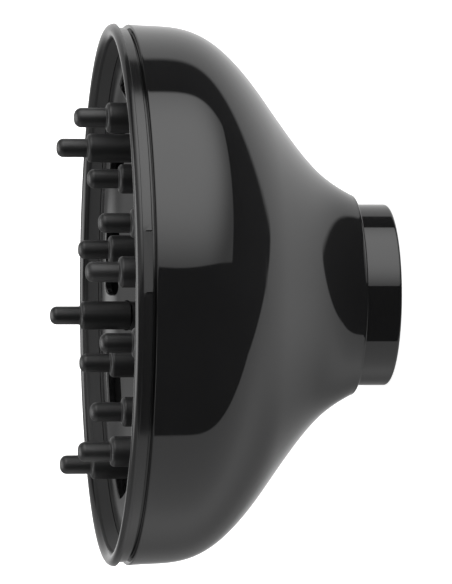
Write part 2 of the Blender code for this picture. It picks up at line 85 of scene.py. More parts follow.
# Bell
SHELL_LOW, SHELL_HIGH = corners_mm("outer_shell")
MOUTH_R, MOUTH_Z = SHELL_HIGH.x, SHELL_HIGH.z
MOUTH_DRAFT = math.radians(4.9)
WAIST_Z, WAIST_R = 38.7, 58.4  # where the bell's curve turns from convex to hollow
WAIST_SLOPE = math.radians(54.3)
NECK_R, NECK_EDGE, NECK_ARC = 30.0, 0.7, (-10, -80)
NECK_Z = SHELL_LOW.z + NECK_EDGE
NECK_SLOPE = math.radians(27.9)
BELL_HANDLES = (15.0, 29.7, 23.8, 11.2)  # reach of each tangent, from mouth to neck
BELL_STEPS = (64, 48)  # along the curve, from mouth to waist and from waist to neck
WALL = 2.4
INNER_MARGIN = (3.0, 1.0)  # kept between the curved inside and the shelf below it or the ledge above
SPIGOT_LEDGE_Z, SPIGOT_BORE_R = 67.7, 77.6

# Collar and what holds it in the neck
COLLAR_HIGH = corners_mm("neck_collar")[1]
FLANGE_R, COLLAR_TOP_Z = COLLAR_HIGH.x, COLLAR_HIGH.z
COLLAR_R, COLLAR_EDGE, COLLAR_BORE_R = 27.0, 0.9, 24.6
FLANGE_Z, BARREL_STOP_R, BARREL_STOP_Z = 20.6, 22.9, 21.0
GRIP_LOW, GRIP_HIGH = corners_mm("grip_ring")
GRIP_GROOVE_DEPTH = 1.0
RIB_COUNT, RIB_HEIGHT, RIB_HALF, RIB_CREST = 3, 0.8, 1.5, 0.7
RETAINER_LOW, RETAINER_HIGH = corners_mm("collar_retainer")
RETAINER_INNER_R, RETAINER_CLEAR, RETAINER_PILOT_DEPTH = 25.2, 0.4, 4.8
RETAINER_SCREWS = [f"retainer_screw_{i}" for i in (1, 2, 3)]

# Front bezel and seal
BEZEL_LOW, BEZEL_HIGH = corners_mm("front_bezel")
BEAD_TOP_Z, BEAD_OUTER_R = BEZEL_HIGH.z, BEZEL_HIGH.x
BEAD_TOP_R, BEAD_INNER_R, BEAD_REAR_Z = 78.1, 75.6, 82.0
BAND_R, BAND_REAR_Z = 78.8, 79.2
BEAD_REAR_EDGE, BEAD_STEPS = 0.25, 14  # steps along each quarter of the bead
APERTURE_R, APERTURE_Z = 73.6, 79.2
LIP_RISE, LIP_HEIGHT, LIP_EDGE = 0.13, 0.17, 0.03  # a thin lip that closes the seam at the plate's edge
LIP_STEPS_R = (0.6, 1.0)  # from the aperture to the lip's back, and to the aperture's face
SKIRT_R, SKIRT_WALL = 77.3, 1.6
SEAL_LOW, SEAL_HIGH = corners_mm("seal_ring")
SEAL_DEPTH, SEAL_PLAY, SEAL_ROUND = 0.9, 0.2, 0.45
KEY_ANGLE = math.radians(12.4)  # between the two slits beside a tab
KEY_SLIT_SIZE, KEY_SLIT_LIFT = (1.6, 0.5, 2.9), 0.4
KEY_FLAT_REACH, KEY_FLAT_CLEAR = 1.0, 0.15  # of the cutter for a tab's flat face: its depth, and off the lip
HOOK_COUNT, HOOK_SIZE = 6, (3.0, 9.0, 1.6)

# Finger plate
PLATE_RIM_R, PLATE_HIGH_Z = corners_mm("finger_plate")[1].x, corners_mm("finger_plate")[1].z
# The dish is round inside DISH_CENTRE_R, then a cone; it curls up under the slots and ends in a flatter land.
DISH_CENTRE_R, DISH_CONE_R, DISH_LAND_R = 30.0, 60.0, 69.0
DISH_CONE_Z, DISH_CONE_RISE = 72.9, 0.30
DISH_CURL, DISH_LAND_RISE = 0.0295, 0.36  # slope gained per millimetre, and the land's slope
DISH_RINGS = 60
PLATE_THICK = 2.0
SLOT_INNER_R, SLOT_OUTER_R, SLOT_CORNER = 62.1, 69.0, 2.5
SLOT_COUNT, SLOT_HALF = 11, math.radians(9.7)
SLOT_CORNER_STEPS, SLOT_SIDE_STEPS = 6, 16
SLOT_EDGE, SEAT_EDGE = 0.45, 0.35  # rounded edges where the dish meets a slot or a seat
EDGE_STEPS, EDGE_FLARE, EDGE_LIFT = 5, 0.35, 0.04  # of the cutter that rounds them: it flares above the dish
CUTTER_TOP, SLOT_REACH = 20.0, 8.0  # how far the cutters go above the dish, and a slot's below it

# Fingers
FINGERS = [f"{ring}_finger_{i}" for ring in ("outer", "inner") for i in range(1, 7)]
FINGER_LENGTH, TIP_LENGTH = 25.0, 9.3
TIP_R, TIP_EDGE, BASE_R, BASE_EDGE = 2.85, 2.1, 4.4, 1.2
SHANK_R, SNAP_HEAD_R, SNAP_HEAD_HEIGHT, SNAP_TAPER = 2.1, 3.0, 1.8, 0.3
TIP_STEPS, TIP_FILLET, TIP_FILLET_STEPS = 10, 0.4, 4
BASE_STEPS, FOOT_EDGE, FOOT_STEPS = 8, 0.3, 3
SEAT_R, SEAT_BOSS_R, SEAT_FLOOR = 4.55, 6.2, 2.2
SHANK_HOLE = (8.0, 2.0)  # its drill's reach below and above the seat

# Air deflector
DEFLECTOR_LOW, DEFLECTOR_HIGH = corners_mm("air_deflector")
DEFLECTOR_R, DEFLECTOR_APEX_Z, DEFLECTOR_EDGE_Z = DEFLECTOR_HIGH.x, DEFLECTOR_LOW.z, 56.0
DEFLECTOR_THICK, DEFLECTOR_PAD_R = 1.8, 3.6
DEFLECTOR_PAD_Z, DEFLECTOR_PAD_TOP_Z = 51.0, 54.6
DEFLECTOR_RINGS, DEFLECTOR_DRILL = 32, 2.0
POST_BURIED, POST_PILOT_DEPTH = 0.9, 5.5  # a post's top under the dish's front, and its pilot hole
DEFLECTOR_SCREWS = [f"deflector_screw_{i}" for i in (1, 2, 3)]

# Screws
SCREW_SHANK_R, SCREW_HEAD_R, SCREW_HEAD_HEIGHT, SCREW_PILOT_R = 1.1, 2.0, 1.5, 1.35
SCREW_HEAD_EDGE, SCREW_POINT_R, SCREW_POINT_LENGTH = 0.9, 0.25, 0.9
SCREW_RECESS = (2.4, 0.5, 1.2)
THREAD_PITCH, THREAD_DEPTH = 0.8, 0.25
THREAD_START, THREAD_PLAIN = 0.6, 1.2  # under the head to the first crest, and the length without thread

# Camera of the view: the diffuser lies on its side in the picture, its front to the left
CAMERA_TURN, CAMERA_TILT = math.radians(6.64), math.radians(8.03)
CAMERA_DISTANCE = 1.026
CAMERA_AIM = Vector((0.0, 0.0, 0.0475))
CAMERA_ASIDE, CAMERA_LIFT = -0.00059, 0.00084  # from the aim, along the picture
CAMERA_LENS, CAMERA_SENSOR = 213.1, 36.0

# Studio, as the object sees it. An edge or a middle is (azimuth, elevation) in degrees, as in towards().
# A blur or a falloff is two cosines from its axis, and then the level at each where it isn't 0 and 1.
SOFTBOX_LOWER_EDGE, SOFTBOX_RIGHT_EDGE = ((18, 10.5), (70, 10)), ((71, 11), (106, 47))
SOFTBOX_REAR_EDGE = ((107, 47), (117, 72))
SOFTBOX_BLUR, SOFTBOX_REAR_BLUR = (0.0, 0.012), (-0.01, 0.03)
SOFTBOX_MIDDLE, SOFTBOX_GLOW = (21.2, 56.2), (0.60, 1.02, 0.7, 3.1)
FLAG_MIDDLES, FLAG_BLUR = ((15.9, 29.3), (20.8, 41.2)), (0.0, 0.02)  # the dark side, where the camera stands
FLAG_TO_WALL = (0.46, 0.53, 0.08, 0.85)  # from the dark side to the wall behind the object
LEFT_WALL, LEFT_STRIP = (0.1, 0.5, 0.85, 0.46), (0.80, 0.98, 0.0, 3.2)
REAR_SHARE, REAR_FALLOFF = (0.3, 0.8), (-0.35, 0.0, 0.35, 1.0)  # the wall behind darkens towards the floor

# Floor
FLOOR_R, FLOOR_DROP = 6.0, 2e-5  # metres; the drop keeps it clear of the collar's end
FLOOR_STEPS, FLOOR_GLOW = 96, 0.92


# ---------------------------------------------------------------- outlines


def polar(radius, angle):
    return Vector((radius * math.cos(angle), radius * math.sin(angle), 0.0))


def arc(centre, radius, start, end, count=8):
    """Points of an arc in the (r, z) half plane, both ends included, angles in degrees from +r."""
    points = []
    for i in range(count + 1):
        angle = math.radians(start + (end - start) * i / count)
        points.append((centre[0] + radius * math.cos(angle), centre[1] + radius * math.sin(angle)))
    return points


def bezier(p0, p1, p2, p3, count):
    """Points of a cubic curve, both ends included."""
    points = []
    for i in range(count + 1):
        t = i / count
        weights = ((1 - t) ** 3, 3 * t * (1 - t) ** 2, 3 * t * t * (1 - t), t**3)
        points.append(tuple(sum(w * p[k] for w, p in zip(weights, (p0, p1, p2, p3))) for k in (0, 1)))
    return points


def offset_inwards(points, distance):
    """The same open outline moved towards the axis side along its normals."""
    moved = []
    for i, (r, z) in enumerate(points):
        before, after = points[max(i - 1, 0)], points[min(i + 1, len(points) - 1)]
        dr, dz = after[0] - before[0], after[1] - before[1]
        length = math.hypot(dr, dz)
        moved.append((r + distance * dz / length, z - distance * dr / length))
    return moved


def rounded(corners):
    """A closed outline from (r, z) points and (r, z, fillet) corners, each fillet as an arc."""
    outline = []
    for i, corner in enumerate(corners):
        here = Vector(corner[:2])
        fillet = corner[2] if len(corner) > 2 else 0.0
        if fillet == 0.0:
            outline.append(tuple(here))
            continue
        before = (Vector(corners[i - 1][:2]) - here).normalized()
        after = (Vector(corners[(i + 1) % len(corners)][:2]) - here).normalized()
        half = before.angle(after) / 2
        centre = here + (before + after).normalized() * fillet / math.sin(half)
        start = here + before * fillet / math.tan(half) - centre
        end = here + after * fillet / math.tan(half) - centre
        for step in range(FILLET_STEPS + 1):
            outline.append(tuple(centre + start.slerp(end, step / FILLET_STEPS) * fillet))
    return outline


# ---------------------------------------------------------------- meshes


def as_object(name, shape):
    """A bmesh as a smooth-shaded object with its faces pointing out."""
    bmesh.ops.recalc_face_normals(shape, faces=shape.faces)
    mesh = bpy.data.meshes.new(name)
    shape.to_mesh(mesh)
    shape.free()
    made = bpy.data.objects.new(name, mesh)
    bpy.context.scene.collection.objects.link(made)
    return made


def turned(name, outline, steps=RING_STEPS, closed=True):
    """A piece turned about Z from an outline in (r, z); an open outline starts and ends on the axis."""
    shape = bmesh.new()
    verts = [shape.verts.new((r * MM, 0.0, z * MM)) for r, z in outline]
    edges = [shape.edges.new(pair) for pair in zip(verts, verts[1:])]
    if closed:
        edges.append(shape.edges.new((verts[-1], verts[0])))
    bmesh.ops.spin(
        shape, geom=verts + edges, axis=(0, 0, 1), cent=(0, 0, 0),
        steps=steps, angle=math.tau, use_merge=True,
    )
    bmesh.ops.remove_doubles(shape, verts=shape.verts, dist=MERGE)
    return as_object(name, shape)


def lofted(name, loops):
    """A closed solid through loops of points that all have the same count."""
    shape = bmesh.new()
    rings = [[shape.verts.new(point * MM) for point in loop] for loop in loops]
    for low, high in zip(rings, rings[1:]):
        for i in range(len(low)):
            shape.faces.new((low[i - 1], low[i], high[i], high[i - 1]))
    shape.faces.new(rings[0])
    shape.faces.new(rings[-1])
    return as_object(name, shape)


def rod(radius, low, high, at):
    """A capped cylinder along Z, used as a boss or as a drill."""
    shape = bmesh.new()
    bmesh.ops.create_cone(
        shape, cap_ends=True, segments=SMALL_STEPS, radius1=radius * MM, radius2=radius * MM,
        depth=(high - low) * MM, matrix=Matrix.Translation(Vector((at[0], at[1], (low + high) / 2)) * MM),
    )
    return as_object("rod", shape)


def block(size, at, turn):
    """A box of that size, turned about Z."""
    shape = bmesh.new()
    place = Matrix.Translation(Vector(at) * MM) @ Matrix.Rotation(turn, 4, "Z")
    bmesh.ops.create_cube(shape, size=1.0, matrix=place @ Matrix.Diagonal((*[s * MM for s in size], 1.0)))
    return as_object("block", shape)


def combine(piece, tools, operation):
    """Cuts the tools from the piece, or adds them to it, and removes them."""
    group = bpy.data.collections.new("tools")
    for tool in tools:
        group.objects.link(tool)
    boolean = piece.modifiers.new(operation, "BOOLEAN")
    boolean.operation = operation
    boolean.solver = "MANIFOLD"
    boolean.operand_type = "COLLECTION"
    boolean.collection = group
    graph = bpy.context.evaluated_depsgraph_get()
    mesh = bpy.data.meshes.new_from_object(piece.evaluated_get(graph))
    piece.modifiers.clear()
    piece.data = mesh
    for tool in tools:
        bpy.data.objects.remove(tool)
    bpy.data.collections.remove(group)


def finish_piece(piece, node, body, material):
    """Shades a fine piece and puts it in its CAD node's place."""
    piece.name = f"{node}_surface"
    piece.data.name = piece.name
    piece.data.materials.clear()
    piece.data.materials.append(material)
    piece.data.shade_smooth()
    piece.data.set_sharp_from_angle(angle=SHARP_ANGLE)
    weigh = piece.modifiers.new("even_shading", "WEIGHTED_NORMAL")
    weigh.keep_sharp = True
    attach(piece, body)
    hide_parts(node)


# ---------------------------------------------------------------- materials


class Graph:
    """Short calls for the nodes of a material or a world."""

    def __init__(self, owner):
        owner.use_nodes = True
        self.tree = owner.node_tree

    def node(self, kind, inputs=None, **settings):
        made = self.tree.nodes.new("ShaderNode" + kind)
        for key, value in settings.items():
            setattr(made, key, value)
        for key, value in (inputs or {}).items():
            if isinstance(value, bpy.types.NodeSocket):
                self.tree.links.new(value, made.inputs[key])
            else:
                made.inputs[key].default_value = value
        return made

    def math(self, operation, a, b=0.0):
        return self.node("Math", {0: a, 1: b}, operation=operation).outputs[0]

    def step(self, value, low, high, at_low=0.0, at_high=1.0):
        """A smooth change from at_low to at_high as value goes from low to high."""
        inputs = {"Value": value, "From Min": low, "From Max": high, "To Min": at_low, "To Max": at_high}
        return self.node("MapRange", inputs, interpolation_type="SMOOTHSTEP").outputs[0]

    def mix(self, share, a, b):
        return self.node("Mix", {0: share, 2: a, 3: b}, data_type="FLOAT").outputs[0]

    def mix_colour(self, share, a, b):
        return self.node("Mix", {0: share, 6: a, 7: b}, data_type="RGBA").outputs[2]

    def bump(self, height, distance, **more):
        inputs = {"Strength": 1.0, "Distance": distance, "Height": height, **more}
        return self.node("Bump", inputs).outputs[0]

    def stretched(self, vector, factors):
        return self.node("VectorMath", {0: vector, 1: factors}, operation="MULTIPLY").outputs[0]

    def noise(self, vector, scale, detail):
        inputs = {"Vector": vector, "Scale": scale, "Detail": detail, "Roughness": NOISE_ROUGHNESS}
        return self.node("TexNoise", inputs).outputs[0]

    def specks(self, vector, scale, size):
        """1 in small round dots scattered one to a cell, 0 between them."""
        cell = self.node("TexVoronoi", {"Vector": vector, "Scale": scale})
        spread = self.node("SeparateColor", {0: cell.outputs["Color"]}).outputs[0]
        limit = self.math("MULTIPLY", self.step(spread, SPECK_SPREAD, 1.0), size)
        return self.math("LESS_THAN", cell.outputs["Distance"], limit)

    def hairlines(self, vector, factors, scale, low, high):
        """1 along fine scratches that run across the stretched direction."""
        lines = self.noise(self.stretched(vector, factors), scale, detail=1.0)
        return self.step(lines, low, high)


def plastic(name, colour, roughness, wear, ripple, grain, dull_inside=None):
    """Black moulded plastic: a mottled gloss, fine scratches, dust, soft flow waves and surface grain.

    roughness is (polished, dull); wear is (scratch, dust speck) strength; ripple and grain are
    (scale, height in metres). Inside the radius dull_inside, in metres, the moulding is left unpolished.
    """
    material = bpy.data.materials.new(name)
    graph = Graph(material)
    shader = graph.tree.nodes["Principled BSDF"]
    link = graph.tree.links.new
    place = graph.node("TexCoord").outputs["Object"]
    mottle = graph.noise(place, *MOTTLE)
    lines = graph.math("MAXIMUM", *[graph.hairlines(place, *hairline) for hairline in HAIRLINES])
    scratch, speck = wear
    dulled = graph.math(
        "ADD", graph.step(mottle, *MOTTLE_GLOSS, *roughness), graph.math("MULTIPLY", lines, scratch),
    )
    if dull_inside:
        flat = graph.stretched(place, (1.0, 1.0, 0.0))
        radius = graph.node("VectorMath", {0: flat}, operation="LENGTH").outputs["Value"]
        polished = graph.step(radius, dull_inside, dull_inside + DULL_BLUR)
        dulled = graph.mix(polished, DULL_ROUGHNESS, dulled)
    link(dulled, shader.inputs["Roughness"])
    lighter = (*[channel * MOTTLE_LIGHTER for channel in colour[:3]], 1.0)
    pigment = graph.mix_colour(graph.step(mottle, *MOTTLE_PIGMENT), colour, lighter)
    dust = graph.math("MULTIPLY", graph.specks(place, *SPECKS), speck)
    link(graph.mix_colour(dust, pigment, DUST), shader.inputs["Base Color"])
    waves = graph.bump(graph.noise(place, ripple[0], 1.0), ripple[1])
    link(graph.bump(graph.noise(place, grain[0], 2.0), grain[1], Normal=waves), shader.inputs["Normal"])
    shader.inputs["IOR"].default_value = PLASTIC_IOR
    return material


def zinc_plate(name):
    """Zinc plated steel: grey metal with a turned grain and a blotchy, slightly warm tarnish."""
    material = bpy.data.materials.new(name)
    graph = Graph(material)
    shader = graph.tree.nodes["Principled BSDF"]
    link = graph.tree.links.new
    place = graph.node("TexCoord").outputs["Object"]
    blotch = graph.noise(place, *TARNISH)
    tarnished = graph.step(blotch, *TARNISH_EDGE)
    link(graph.mix_colour(tarnished, ZINC_GREY, TARNISH_GREY), shader.inputs["Base Color"])
    link(graph.step(blotch, *TARNISH_GLOSS), shader.inputs["Roughness"])
    turned_grain = graph.noise(graph.stretched(place, (1.0, 1.0, 12.0)), 900.0, 2.0)
    link(graph.bump(turned_grain, 2e-5, Strength=0.6), shader.inputs["Normal"])
    shader.inputs["Metallic"].default_value = 1.0
    return material


# Surface detail in object space, in metres. A texture is (scale, detail), or as its method takes it; a step
# is two texture values, and then the result at each.
NOISE_ROUGHNESS = 0.55
DUST, SPECKS, SPECK_SPREAD = (0.12, 0.12, 0.12, 1.0), (620.0, 0.07), 0.55
MOTTLE, MOTTLE_GLOSS, MOTTLE_PIGMENT = (45.0, 5.0), (0.3, 0.7), (0.25, 0.75)
MOTTLE_LIGHTER = 1.25  # the lighter pigment, to the darker
HAIRLINES = (((1.0, 1.0, 26.0), 38.0, 0.66, 0.72), ((14.0, 3.0, 1.0), 60.0, 0.68, 0.74))
DULL_BLUR, DULL_ROUGHNESS = 0.0003, 0.55
PLASTIC_IOR = 1.5
TARNISH, TARNISH_EDGE, TARNISH_GLOSS = (700.0, 4.0), (0.35, 0.7), (0.3, 0.7, 0.22, 0.42)
ZINC_GREY, TARNISH_GREY = (0.5, 0.5, 0.51, 1.0), (0.34, 0.33, 0.3, 1.0)

SHELL_BLACK = plastic(
    "shell_gloss", (0.0042, 0.0042, 0.0044, 1.0),
    roughness=(0.028, 0.045), wear=(0.06, 0.12), ripple=(22.0, 2e-5), grain=(900.0, 4e-7),
)
BEZEL_BLACK = plastic(
    "bezel_satin", (0.0060, 0.0060, 0.0062, 1.0),
    roughness=(0.13, 0.17), wear=(0.06, 0.12), ripple=(30.0, 2e-5), grain=(1500.0, 2e-6),
    dull_inside=(BEAD_INNER_R + 0.1) * MM,
)
PLATE_BLACK = plastic(
    "plate_gloss", (0.0060, 0.0060, 0.0062, 1.0),
    roughness=(0.10, 0.14), wear=(0.06, 0.15), ripple=(30.0, 3e-5), grain=(1500.0, 2e-6),
)
FINGER_BLACK = plastic(
    "finger_matte", (0.0150, 0.0150, 0.0154, 1.0),
    roughness=(0.37, 0.43), wear=(0.05, 0.15), ripple=(60.0, 2e-5), grain=(2200.0, 6e-6),
)
SILICONE = plastic(
    "grip_rubber", (0.030, 0.030, 0.031, 1.0),
    roughness=(0.45, 0.60), wear=(0.05, 0.60), ripple=(60.0, 3e-5), grain=(1800.0, 1.5e-5),
)
ZINC = zinc_plate("screw_steel")


# ---------------------------------------------------------------- the bell and its collar


def bell_outline():
    """The bell's outer side from mouth to neck, two tangent cubic curves in (r, z)."""
    mouth, waist, neck = (MOUTH_R, MOUTH_Z), (WAIST_R, WAIST_Z), (NECK_R, NECK_Z)
    h0, h1, h2, h3 = BELL_HANDLES

    def along(point, slope, reach):
        return point[0] - math.sin(slope) * reach, point[1] - math.cos(slope) * reach

    upper = bezier(mouth, along(mouth, MOUTH_DRAFT, h0), along(waist, WAIST_SLOPE, -h1), waist, BELL_STEPS[0])
    lower = bezier(waist, along(waist, WAIST_SLOPE, h2), along(neck, NECK_SLOPE, -h3), neck, BELL_STEPS[1])
    return upper + lower[1:]


def make_shell():
    outer = bell_outline()
    edge = arc((NECK_R - NECK_EDGE, NECK_Z), NECK_EDGE, *NECK_ARC)
    shelf_z = COLLAR_TOP_Z
    lowest, highest = shelf_z + INNER_MARGIN[0], SPIGOT_LEDGE_Z - INNER_MARGIN[1]
    inner = [p for p in offset_inwards(outer, WALL) if lowest < p[1] < highest]
    outline = rounded([
        (*outer[0], ROUND),
        *outer[1:],
        *edge,
        (COLLAR_R + GAP, NECK_Z - NECK_EDGE, SOFT),
        (COLLAR_R + GAP, FLANGE_Z - GAP, FINE),
        (FLANGE_R + GAP, FLANGE_Z - GAP, FINE),
        (FLANGE_R + GAP, shelf_z, SOFT),
        (RETAINER_HIGH.x + RETAINER_CLEAR, shelf_z, SOFT),
        *inner[::-1],
        (inner[0][0], SPIGOT_LEDGE_Z, SOFT),
        (SPIGOT_BORE_R, SPIGOT_LEDGE_Z, SOFT),
        (SPIGOT_BORE_R, MOUTH_Z, SOFT),
    ])
    piece = turned("shell", outline)
    low, high = shelf_z - RETAINER_PILOT_DEPTH, shelf_z + HOLE_PAST
    pilots = [rod(SCREW_PILOT_R, low, high, centre_mm(s)) for s in RETAINER_SCREWS]
    combine(piece, pilots, "DIFFERENCE")
    finish_piece(piece, "outer_shell", "bell", SHELL_BLACK)


def make_collar():
    groove_r = COLLAR_BORE_R + GRIP_GROOVE_DEPTH
    outline = rounded([
        (FLANGE_R, COLLAR_TOP_Z, WIDE),
        (FLANGE_R, FLANGE_Z, SOFT),
        (COLLAR_R, FLANGE_Z, FINE),
        (COLLAR_R, 0.0, COLLAR_EDGE),
        (COLLAR_BORE_R, 0.0, ROUND),
        (COLLAR_BORE_R, GRIP_LOW.z - GAP, FINE),
        (groove_r, GRIP_LOW.z - GAP, FINE),
        (groove_r, GRIP_HIGH.z + GAP, FINE),
        (COLLAR_BORE_R, GRIP_HIGH.z + GAP, FINE),
        (COLLAR_BORE_R, BARREL_STOP_Z, SOFT),
        (BARREL_STOP_R, BARREL_STOP_Z, SOFT),
        (BARREL_STOP_R, COLLAR_TOP_Z, SOFT),
    ])
    finish_piece(turned("collar", outline), "neck_collar", "collar", SHELL_BLACK)


def make_grip():
    """A silicone sleeve with soft round ribs inside."""
    low, high, outer = GRIP_LOW.z, GRIP_HIGH.z, GRIP_HIGH.x
    inner = COLLAR_BORE_R - GAP
    pitch = (high - low) / RIB_COUNT
    ribs = []
    for i in range(RIB_COUNT):
        middle = low + (i + 0.5) * pitch
        ribs += [
            (inner, middle - RIB_HALF, ROUND),
            (inner - RIB_HEIGHT, middle, RIB_CREST),
            (inner, middle + RIB_HALF, ROUND),
        ]
    outline = rounded([
        (outer, high, FINE),
        (outer, low, FINE),
        (inner, low, FINE),
        *ribs,
        (inner, high, FINE),
    ])
    finish_piece(turned("grip", outline), "grip_ring", "collar", SILICONE)


def make_retainer():
    low, high, outer = RETAINER_LOW.z, RETAINER_HIGH.z, RETAINER_HIGH.x
    outline = rounded([
        (outer, high, WIDE),
        (outer, low, TIGHT),
        (RETAINER_INNER_R, low, TIGHT),
        (RETAINER_INNER_R, high, SOFT),
    ])
    piece = turned("retainer", outline)
    holes = [rod(SCREW_PILOT_R, low - HOLE_PAST, high + HOLE_PAST, centre_mm(s)) for s in RETAINER_SCREWS]
    combine(piece, holes, "DIFFERENCE")
    finish_piece(piece, "collar_retainer", "bell", BEZEL_BLACK)


def make_screw(node, body, up):
    """A pan-head screw with a cross recess and rolled thread rings. up is +1 where its head is on top."""
    low, high = corners_mm(node)
    at = (low + high) / 2
    length = high.z - low.z - SCREW_HEAD_HEIGHT
    thread = []
    root_r = SCREW_SHANK_R - THREAD_DEPTH
    for i in range(int((length - THREAD_PLAIN) / THREAD_PITCH)):
        crest = -THREAD_START - i * THREAD_PITCH
        thread += [(root_r, crest + THREAD_PITCH / 2), (SCREW_SHANK_R, crest)]
    edge = SCREW_HEAD_EDGE
    outline = [
        (0.0, SCREW_HEAD_HEIGHT),
        *arc((SCREW_HEAD_R - edge, SCREW_HEAD_HEIGHT - edge), edge, 90, 0),
        (SCREW_HEAD_R, 0.0),
        (root_r, 0.0),
        *thread,
        (root_r, -length + SCREW_POINT_LENGTH),
        (SCREW_POINT_R, -length),
        (0.0, -length),
    ]
    piece = turned("screw", outline, SMALL_STEPS, closed=False)
    for turn in (math.pi / 4, math.pi * 3 / 4):
        combine(piece, [block(SCREW_RECESS, (0, 0, SCREW_HEAD_HEIGHT), turn)], "DIFFERENCE")
    seat_z = low.z + length if up > 0 else high.z - length
    flip = Matrix.Identity(4) if up > 0 else Matrix.Rotation(math.pi, 4, "X")
    piece.data.transform(Matrix.Translation(Vector((at.x, at.y, seat_z)) * MM) @ flip)
    finish_piece(piece, node, body, ZINC)


# ---------------------------------------------------------------- the front grille


def make_bezel():
    """Rolled lip, seam band with two keyed tabs, bevelled aperture, hooks and skirt."""
    outer_round = BEAD_OUTER_R - BEAD_TOP_R
    inner_round = BEAD_TOP_R - BEAD_INNER_R
    bead = arc((BEAD_TOP_R, BEAD_TOP_Z - inner_round), inner_round, 180, 90, BEAD_STEPS)
    bead += arc((BEAD_TOP_R, BEAD_TOP_Z - outer_round), outer_round, 90, 0, BEAD_STEPS)[1:]
    skirt_inner = SKIRT_R - SKIRT_WALL
    groove_r = SKIRT_R - SEAL_DEPTH
    lip_z = dish_z(APERTURE_R - GAP) + LIP_RISE
    outline = rounded([
        *bead,
        (BEAD_OUTER_R, BEAD_REAR_Z, BEAD_REAR_EDGE),
        (BAND_R, BEAD_REAR_Z, FINE),
        (BAND_R, BAND_REAR_Z, SOFT),
        (SKIRT_R, BAND_REAR_Z, FINE),
        (SKIRT_R, SEAL_HIGH.z + SEAL_PLAY, TIGHT),
        (groove_r, SEAL_HIGH.z + SEAL_PLAY, TIGHT),
        (groove_r, SEAL_LOW.z - SEAL_PLAY, TIGHT),
        (SKIRT_R, SEAL_LOW.z - SEAL_PLAY, TIGHT),
        (SKIRT_R, BEZEL_LOW.z, WIDE),
        (skirt_inner, BEZEL_LOW.z, WIDE),
        (skirt_inner, APERTURE_Z, WIDE),
        (APERTURE_R + LIP_STEPS_R[1], APERTURE_Z, FINE),
        (APERTURE_R + LIP_STEPS_R[0], lip_z + LIP_HEIGHT),
        (APERTURE_R, lip_z, LIP_EDGE),
    ])
    piece = turned("bezel", outline)
    hook_top = dish_z(APERTURE_R - GAP) - PLATE_THICK - GAP
    hooks = []
    for i in range(HOOK_COUNT):
        angle = math.tau * (i + 0.5) / HOOK_COUNT
        centre = polar(skirt_inner - GAP, angle)
        hooks.append(block(HOOK_SIZE, (centre.x, centre.y, hook_top - HOOK_SIZE[2] / 2), angle))
    combine(piece, hooks, "UNION")
    slits = []
    for side in (-1, 1):
        for edge in (-1, 1):
            angle = side * math.pi / 2 + edge * KEY_ANGLE / 2
            centre = polar(BAND_R, angle)
            slits.append(block(KEY_SLIT_SIZE, (centre.x, centre.y, BAND_REAR_Z + KEY_SLIT_LIFT), angle))
    combine(piece, slits, "DIFFERENCE")
    chord = BAND_R * math.cos(KEY_ANGLE / 2)
    width = 2 * BAND_R * math.sin(KEY_ANGLE / 2)
    flats = []
    for side in (-1, 1):
        middle = (0.0, side * (chord + KEY_FLAT_REACH / 2), (BAND_REAR_Z + BEAD_REAR_Z) / 2 - KEY_FLAT_CLEAR)
        flats.append(block((width, KEY_FLAT_REACH, BEAD_REAR_Z - BAND_REAR_Z), middle, 0.0))
    combine(piece, flats, "DIFFERENCE")
    finish_piece(piece, "front_bezel", "grille", BEZEL_BLACK)


def make_seal():
    inner = SKIRT_R - SEAL_DEPTH + SEAL_PLAY / 2
    outline = rounded([
        (SEAL_HIGH.x, SEAL_HIGH.z, SEAL_ROUND),
        (SEAL_HIGH.x, SEAL_LOW.z, SEAL_ROUND),
        (inner, SEAL_LOW.z, SOFT),
        (inner, SEAL_HIGH.z, SOFT),
    ])
    finish_piece(turned("seal", outline), "seal_ring", "grille", SILICONE)


def dish_z(radius):
    """Height of the plate's front face at a radius."""
    if radius > DISH_LAND_R:
        return dish_z(DISH_LAND_R) + DISH_LAND_RISE * (radius - DISH_LAND_R)
    from_cone = radius - DISH_CONE_R
    if from_cone > 0:
        return DISH_CONE_Z + DISH_CONE_RISE * from_cone + DISH_CURL * from_cone**2 / 2
    if radius > DISH_CENTRE_R:
        return DISH_CONE_Z + DISH_CONE_RISE * from_cone
    edge_z = DISH_CONE_Z - DISH_CONE_RISE * (DISH_CONE_R - DISH_CENTRE_R)
    return edge_z - DISH_CONE_RISE * (DISH_CENTRE_R**2 - radius**2) / (2 * DISH_CENTRE_R)


def slot_middles():
    """Angles of the slots, evenly round the plate with the land between two of them at +Y."""
    return [math.pi / 2 + math.tau * (i + 0.5) / SLOT_COUNT for i in range(SLOT_COUNT)]


def slot_outline(middle, grow):
    """A curved slot's outline with round corners, grown outwards by that much."""
    outline = []
    corners = (
        (SLOT_OUTER_R - SLOT_CORNER, 1, 0),
        (SLOT_INNER_R + SLOT_CORNER, 1, 90),
        (SLOT_INNER_R + SLOT_CORNER, -1, 180),
        (SLOT_OUTER_R - SLOT_CORNER, -1, 270),
    )
    for radius, side, start in corners:
        reach = SLOT_HALF - SLOT_CORNER / radius
        angle = middle + side * reach
        for step in range(SLOT_CORNER_STEPS + 1):
            turn = angle + math.radians(start + 90 * step / SLOT_CORNER_STEPS)
            outline.append(polar(radius, angle) + polar(SLOT_CORNER + grow, turn))
        if start in (90, 270):
            edge_r = SLOT_INNER_R - grow if start == 90 else SLOT_OUTER_R + grow
            part = side * 2 * reach / SLOT_SIDE_STEPS
            outline += [polar(edge_r, angle - part * i) for i in range(1, SLOT_SIDE_STEPS)]
    return outline


def round_outline(at, radius, grow):
    centre = Vector((at.x, at.y, 0.0))
    return [centre + polar(radius + grow, math.tau * i / SMALL_STEPS) for i in range(SMALL_STEPS)]


